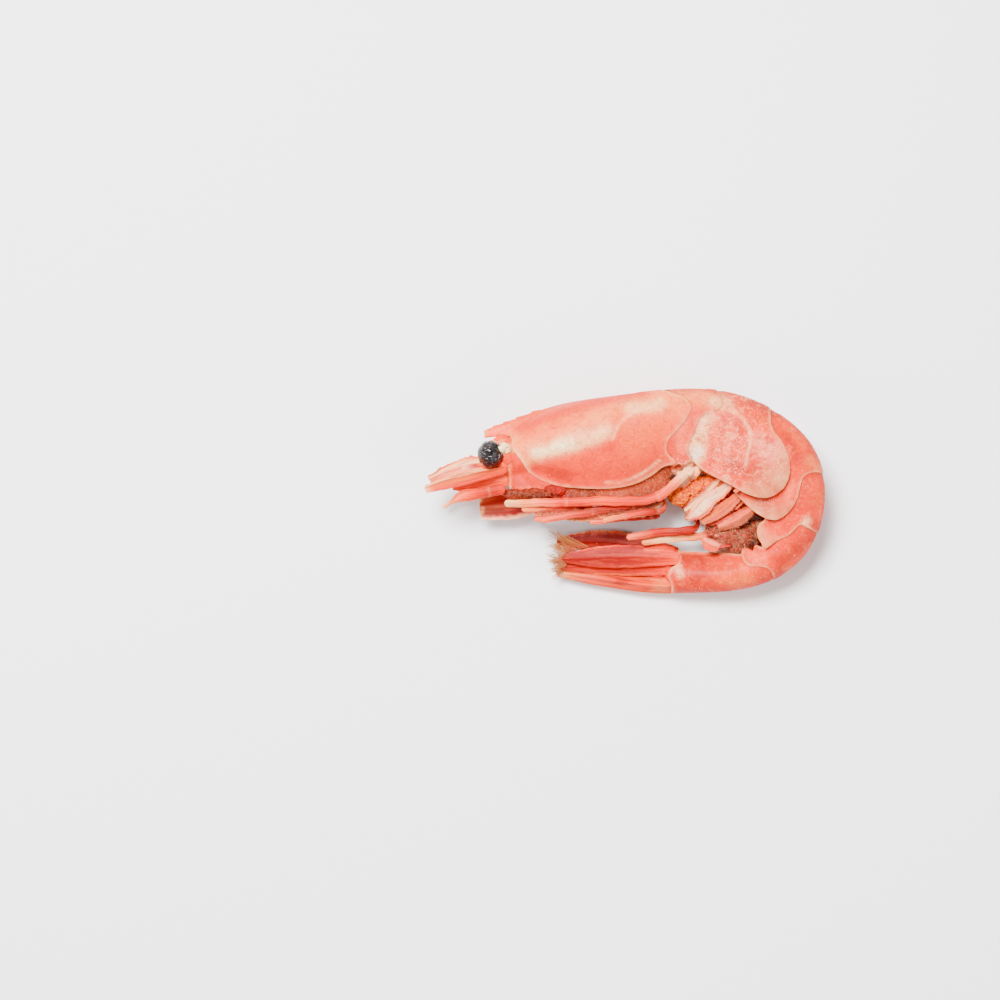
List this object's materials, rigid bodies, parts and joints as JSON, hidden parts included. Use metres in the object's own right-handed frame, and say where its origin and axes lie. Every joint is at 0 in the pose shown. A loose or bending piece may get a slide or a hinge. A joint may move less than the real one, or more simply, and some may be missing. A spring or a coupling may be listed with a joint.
{
  "type": "cooked northern prawn, whole with head and shell, frozen",
  "caption": "Small whole cooked prawn in its shell, curled and lying on its side, with head, eyes, legs, tail fan and a clump of orange eggs under the belly.",
  "frame": {"origin": "centre of the bounding box in X and Y, on the surface that the prawn lies on", "axes": "The prawn lies on its right side: +Z is its left side, up. -X is where the head points, and +Y is where the back bows out behind the head; the tail comes back under the body along -Y."},
  "size_m": [0.0546, 0.028, 0.0125],
  "materials": {
    "shell": "thin cooked shell, cream to salmon orange with fine red speckles, damp and lightly frosted",
    "leg": "thin cooked limbs, pink red fading to cream",
    "tail": "crimson to orange tail blades with a soft fringe",
    "eye": "glossy black with a grey bloom",
    "roe": "wet orange eggs"
  },
  "bodies": {
    "root": {"abdomen_1": "shell", "abdomen_2": "shell", "abdomen_3": "shell", "abdomen_4": "shell", "abdomen_5": "shell", "abdomen_6": "shell", "antenna_left": "leg", "antenna_right": "leg", "antennal_scale_left": "shell", "antennal_scale_right": "shell", "antennule_left": "leg", "antennule_right": "leg", "carapace": "shell", "eye_left": "eye", "eye_right": "eye", "eyestalk_left": "shell", "eyestalk_right": "shell", "head": "shell", "leg_1_left": "leg", "leg_1_right": "leg", "leg_2_left": "leg", "leg_2_right": "leg", "leg_3_left": "leg", "leg_3_right": "leg", "leg_4_left": "leg", "leg_4_right": "leg", "leg_5_left": "leg", "leg_5_right": "leg", "maxilliped_left": "leg", "maxilliped_right": "leg", "pleopod_left_1": "leg", "pleopod_left_2": "leg", "pleopod_left_3": "leg", "pleopod_left_4": "leg", "pleopod_left_5": "leg", "pleopod_right_1": "leg", "pleopod_right_2": "leg", "pleopod_right_3": "leg", "pleopod_right_4": "leg", "pleopod_right_5": "leg", "roe": "roe", "telson": "tail", "thorax": "leg", "uropod_left_inner": "tail", "uropod_left_outer": "tail", "uropod_right_inner": "tail", "uropod_right_outer": "tail"}
  },
  "joints": []
}
